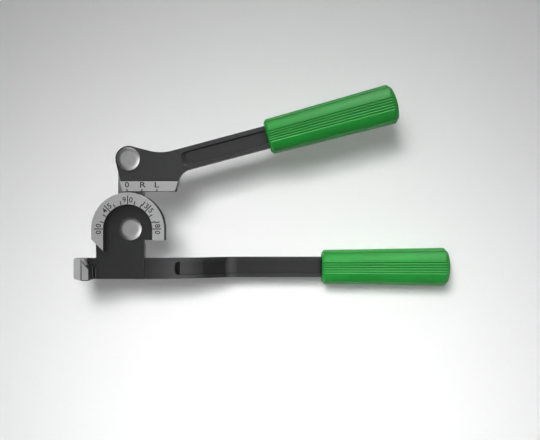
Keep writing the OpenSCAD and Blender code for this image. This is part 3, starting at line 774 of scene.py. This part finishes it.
class BENDER_OT_forgings(bpy.types.Operator):
    """Coats the form handle, the wheel and the lever in black, with their ground faces bare."""

    bl_idname = "bender.forgings"
    bl_label = "Forgings"

    def execute(self, context):
        form, settings = context.scene.bender_forgings, context.scene.bender_finishes
        grips, pins = context.scene.bender_grips, context.scene.bender_pins
        bar_middle = (LOWER_GRIP[0].y + LOWER_GRIP[1].y) / 2

        def wheel_bare(finish):
            return finish.axes()[2].above(WHEEL_FACE - form.ground_skin)

        def handle_bare(finish):
            x, y, z = finish.axes()
            front = z.above(form.jaw_front) * y.above(form.jaw_foot)
            bright = x.below(form.flank_bright) * form.bright_share
            faint = x.below(form.flank_faint) * form.faint_share
            flank = (bright + faint) * z.above(form.flank_bottom)
            past_x = (x - form.cut_x) * math.sin(form.cut_angle)
            past_y = (y - form.cut_y) * math.cos(form.cut_angle)
            past_cut = past_x + past_y
            wall = past_cut.above(-form.wall_skin) * x.below(form.wall_end)
            wall = wall * z.ramp(form.wall_low, form.wall_high)
            bare = (front.most(flank) * past_cut.below(-form.cut_margin)).most(wall)
            return bare * y.between(form.jaw_low, form.jaw_high)

        # Where painted shade darkens the handle's pocket.
        def handle_pocket(finish):
            x, y, _ = finish.axes()
            return x.above(form.handle_pocket) * abs(y - bar_middle).below(form.pocket_half)

        def handle_channel(finish):
            x, y, z = finish.axes()
            inside = x.between(form.channel_left, form.channel_right) * y.below(form.channel_top)
            return inside * z.above(form.channel_low)

        def lever_bare(finish):
            return finish.axes()[2].above(LEVER_FACE - form.ground_skin)

        # Where painted shade darkens the lever's pocket, the more in its corner; the coat is also
        # rougher there.
        def lever_pocket(finish):
            x, y, z = finish.axes()
            c, s = math.cos(grips.lever_slope), math.sin(grips.lever_slope)
            along = (x - LEVER_PIN.x) * c + (y - LEVER_PIN.y) * s
            across = (y - LEVER_PIN.y) * c - (x - LEVER_PIN.x) * s + grips.lever_drop
            depth = pins.lever_seat - z
            inside = along.above(form.lever_pocket) * abs(across).below(form.pocket_half)
            inside = inside * depth.between(form.pocket_lip, form.pocket_depth)
            # Painted shadow: the corner near the pin is darkened, and made rougher, more than the rest
            # of the pocket.
            corner = along.below(form.corner_end) * across.below(form.corner_top)
            return inside * (corner * form.corner_share + (1 - form.corner_share))

        for node, name, coat, bare, pocket, dull in (
                ("forming_wheel", "wheel", settings.black, wheel_bare, None, None),
                ("form_handle", "handle", settings.black, handle_bare, handle_pocket, handle_channel),
                ("shoe_lever", "lever", settings.lever_black, lever_bare, lever_pocket, lever_pocket)):
            name += "_black_and_ground"
            put_on(coat_over_ground_steel(name, settings, coat, bare, pocket, dull), node)
        return {"FINISHED"}


class BENDER_OT_link(bpy.types.Operator):
    """Gives the link, the rings, screws, dowels, washers and bushes their bare metal."""

    bl_idname = "bender.link"
    bl_label = "Link and small parts"

    def execute(self, context):
        settings = context.scene.bender_finishes
        small = times(settings.grey, settings.small_light)
        put_on(plain_steel("link_steel", settings.grey, settings.grey_rough), "link")
        put_on(
            plain_steel("small_steel", small, settings.small_rough, 1600, (1, 1, 1)),
            "wheel_screws", "wheel_dowels", "centre_back_washer", "lever_back_washer",
            "centre_retaining_ring", "lever_retaining_ring")
        put_on(
            plain_steel("bearing_bronze", settings.bronze, settings.bronze_rough, 1400, (1, 1, 1)),
            "centre_bush", "lever_bush", "centre_thrust_washer", "lever_thrust_washer")
        return {"FINISHED"}


class BENDER_OT_pins(bpy.types.Operator):
    """Turns the two pins with their domed heads."""

    bl_idname = "bender.pins"
    bl_label = "Pins"

    def execute(self, context):
        form, settings = context.scene.bender_pins, context.scene.bender_finishes
        pins = (
            ("centre_pin", "turned_centre_pin", Vector((0, 0, 0)), form.seat, FORM_BODY),
            ("lever_pin", "turned_lever_pin", LEVER_PIN, form.lever_seat, LEVER_BODY))
        for node, name, centre, seat, body in pins:
            profile = pin_profile(form, seat, PIN_END)
            material = turned_steel(name + "_steel", settings.turned, settings.turned_rough, centre)
            piece = grid_mesh(name, turned_grid(profile, centre, PIN_COLUMNS), material)
            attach(piece, body)
            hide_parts(node)
        return {"FINISHED"}


class BENDER_OT_grips(bpy.types.Operator):
    """Moulds the two grips with their grooves and sockets."""

    bl_idname = "bender.grips"
    bl_label = "Grips"

    def execute(self, context):
        form, settings = context.scene.bender_grips, context.scene.bender_finishes
        material = soft_plastic("green_plastic", settings)
        low, high = LOWER_GRIP
        middle = (low + high) / 2
        start = placed(
            np.array([form.lever_start, -form.lever_drop, 0]), form.lever_slope, LEVER_PIN)
        start[2] = (UPPER_GRIP[0].z + UPPER_GRIP[1].z) / 2
        grips = (
            ("lower_grip", FORM_BODY, form.lower_bar, form.lower_roll, 0, (low.x, middle.y, middle.z)),
            ("upper_grip", LEVER_BODY, form.upper_bar, form.upper_roll, form.lever_slope, start))
        for node, body, bar_width, roll, turn, at in grips:
            grid, across = grip_grid(form, high.x - low.x, bar_width, roll)
            piece = grid_mesh(node + "_sleeve", placed(grid, turn, at), material, GRIP_SHARP_EDGE)
            across = np.append(across.ravel(), [OUTSIDE, OUTSIDE])
            # Each point keeps how much painted shade and painted highlight its groove wall takes.
            for key, (wall, reach) in GROOVE_WALLS.items():
                value = np.clip(1 - np.abs(across - wall) / reach, 0, None)
                layer = piece.data.attributes.new(key, "FLOAT", "POINT")
                layer.data.foreach_set("value", value.astype(np.float32))
            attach(piece, body)
            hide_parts(node)
        return {"FINISHED"}


def tick(middle, direction, start, end, width, height):
    """The four corners of a straight mark, from start to end along a direction."""
    direction = np.array([math.cos(direction), math.sin(direction)])
    across = np.array([-direction[1], direction[0]]) * width / 2
    near, far = middle + direction * start, middle + direction * end
    return [(*point, height) for point in (near - across, far - across, far + across, near + across)]


def lettering(text, size, stroke, stretch, at, turn, height):
    """A text as flat faces: its mesh's points, made as high as asked and turned, with their
    middle at a point. Its strokes are thickened and its width is stretched."""
    curve = bpy.data.curves.new("lettering", "FONT")
    curve.body, curve.size, curve.offset = text, FONT_SIZE * size, stroke
    curve.align_x = curve.align_y = "CENTER"
    curve.resolution_u = 4
    words = bpy.data.objects.new("lettering", curve)
    bpy.context.scene.collection.objects.link(words)
    bpy.context.view_layer.update()
    mesh = bpy.data.meshes.new_from_object(words.evaluated_get(bpy.context.evaluated_depsgraph_get()))
    points = np.array([vertex.co for vertex in mesh.vertices])[:, :2]
    faces = [list(polygon.vertices) for polygon in mesh.polygons]
    points -= (points.max(0) + points.min(0)) / 2
    points *= size / (2 * points.max(0)[1])
    points[:, 0] *= stretch
    c, s = math.cos(turn), math.sin(turn)
    points = points @ np.array([(c, s), (-s, c)]) + np.array(at)
    bpy.data.objects.remove(words)
    bpy.data.curves.remove(curve)
    bpy.data.meshes.remove(mesh)
    return [(*point, height) for point in points.tolist()], faces


def flat_marks(name, material, marks, depth):
    """One piece from flat marks, each given as its points and faces, with a small thickness."""
    points, faces = [], []
    for mark_points, mark_faces in marks:
        faces += [[index + len(points) for index in face] for face in mark_faces]
        points += mark_points
    mesh = bpy.data.meshes.new(name)
    mesh.from_pydata(points, [], faces)
    mesh.materials.append(material)
    piece = bpy.data.objects.new(name, mesh)
    bpy.context.scene.collection.objects.link(piece)
    thick = piece.modifiers.new("thickness", "SOLIDIFY")
    thick.thickness, thick.offset = depth, -1
    return piece


class BENDER_OT_marks(bpy.types.Operator):
    """Marks the degree scale on the wheel, and 0, R and L on the shoe."""

    bl_idname = "bender.marks"
    bl_label = "Scale marks"

    def execute(self, context):
        form, settings = context.scene.bender_marks, context.scene.bender_finishes
        material = etched_mark("mark_fill", settings.mark)
        square = [[0, 1, 2, 3]]
        top = WHEEL_FACE + form.rise / 2
        centre = np.zeros(2)
        marks = []
        for degrees in range(TICKS_FIRST, TICKS_LAST + 1, TICK_STEP):
            end = form.short_tick if degrees % LONG_STEP else form.long_tick
            direction = math.pi - math.radians(degrees)
            marks.append((tick(centre, direction, form.inner, end, form.line, top), square))
        for degrees, left, right, outwards in FIGURES:
            for text, side in ((left, -1), (right, 1)):
                offset = form.pair_offset if len(text) > 1 else form.figure_offset
                a = math.pi - math.radians(degrees) - side * offset
                at = (form.figure_radius + outwards) * np.array([math.cos(a), math.sin(a)])
                turn = a - math.pi / 2
                marks.append(lettering(text, form.figure_height, form.stroke, 1.0, at, turn, top))
        piece = flat_marks("wheel_scale", material, marks, form.rise)
        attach(piece, FORM_BODY)

        top = LEVER_FACE + form.rise / 2
        marks = []
        for index, (text, stretch, aside) in enumerate(LETTERS):
            x = form.shoe_first + index * form.shoe_step
            foot = np.array([x, form.shoe_edge])
            corners = tick(
                foot, math.pi / 2, form.shoe_margin, form.shoe_tick, form.shoe_line, top)
            marks.append((corners, square))
            marks.append(lettering(
                text, form.letter_height, form.stroke, getattr(form, stretch),
                (x + aside, form.shoe_edge + form.letter_middle), 0, top))
        piece = flat_marks("shoe_marks", material, marks, form.rise)
        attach(piece, LEVER_BODY)
        return {"FINISHED"}


def area_light(name, at, target, size, watts, spread=math.pi):
    """A square soft light at a place, facing a target, with its beam narrowed to an angle."""
    data = bpy.data.lights.new(name, "AREA")
    data.size, data.energy, data.spread = size, watts, spread
    light = bpy.data.objects.new(name, data)
    light.location = at
    light.rotation_euler = (Vector(target) - Vector(at)).to_track_quat("-Z", "Y").to_euler()
    bpy.context.scene.collection.objects.link(light)
    return light


class BENDER_OT_stage(bpy.types.Operator):
    """Sets the floor, the lights and the camera."""

    bl_idname = "bender.stage"
    bl_label = "Stage"

    def execute(self, context):
        setting, settings = context.scene.bender_stage, context.scene.bender_finishes
        finish = Finish("pale_floor")
        grain = finish.noise(waves=400, detail=3)
        glow = {"Emission Color": (1, 1, 1, 1), "Emission Strength": setting.floor_glow}
        material = finish.surface(
            {"Specular IOR Level": 0.1, **glow},
            Base_Color=finish.shades(grain.ramp(0.3, 0.7), settings.floor, darker=0.99, lighter=1.0),
            Roughness=0.8)
        mesh = bpy.data.meshes.new("floor")
        half, z = setting.floor_half, FLOOR_HEIGHT
        corners = [(-half, -half, z), (half, -half, z), (half, half, z), (-half, half, z)]
        mesh.from_pydata(corners, [], [(0, 1, 2, 3)])
        mesh.materials.append(material)
        floor = bpy.data.objects.new("floor", mesh)
        bpy.context.scene.collection.objects.link(floor)

        key = area_light(
            "key_light", setting.key_place, setting.key_aim,
            setting.key_size, setting.key_power, setting.key_spread)
        key.visible_glossy = False
        for name, at, target, size, power_setting in MIRRORED_LIGHTS:
            light = area_light(name, at, target, size, getattr(setting, power_setting))
            light.visible_diffuse = False

        world = bpy.data.worlds.new("studio")
        world.use_nodes = True
        background = world.node_tree.nodes["Background"]
        background.inputs[0].default_value = (1, 1, 1, 1)
        background.inputs[1].default_value = setting.world_strength
        context.scene.world = world

        data = bpy.data.cameras.new("camera")
        data.sensor_width, data.lens = setting.sensor, setting.lens
        data.clip_start, data.clip_end = CLIP_NEAR, CLIP_FAR
        camera = bpy.data.objects.new("camera", data)
        camera.location = setting.eye
        context.scene.collection.objects.link(camera)
        context.scene.camera = camera
        context.scene.view_settings.view_transform = "Standard"
        return {"FINISHED"}


class BENDER_PT_panel(bpy.types.Panel):
    """Lists the steps that dress the tube bender."""

    bl_idname = "BENDER_PT_panel"
    bl_label = "Tube bender"
    bl_space_type = "VIEW_3D"
    bl_region_type = "UI"
    bl_category = "Tube bender"

    def draw(self, context):
        for operator in OPERATORS:
            self.layout.operator(operator.bl_idname)
        for name, group in GROUPS.items():
            box = self.layout.box()
            for key in group.__annotations__:
                box.prop(getattr(context.scene, name), key)


OPERATORS = (
    BENDER_OT_forgings,
    BENDER_OT_link,
    BENDER_OT_pins,
    BENDER_OT_grips,
    BENDER_OT_marks,
    BENDER_OT_stage,
)
CLASSES = (*GROUPS.values(), *OPERATORS, BENDER_PT_panel)


def register():
    for cls in CLASSES:
        bpy.utils.register_class(cls)
    for name, group in GROUPS.items():
        setattr(bpy.types.Scene, name, PointerProperty(type=group))


def unregister():
    for name in GROUPS:
        delattr(bpy.types.Scene, name)
    for cls in reversed(CLASSES):
        bpy.utils.unregister_class(cls)


def main():
    register()
    bpy.ops.bender.forgings()
    bpy.ops.bender.link()
    bpy.ops.bender.pins()
    bpy.ops.bender.grips()
    bpy.ops.bender.marks()
    bpy.ops.bender.stage()
    bpy.context.view_layer.update()


if __name__ == "__main__":
    main()
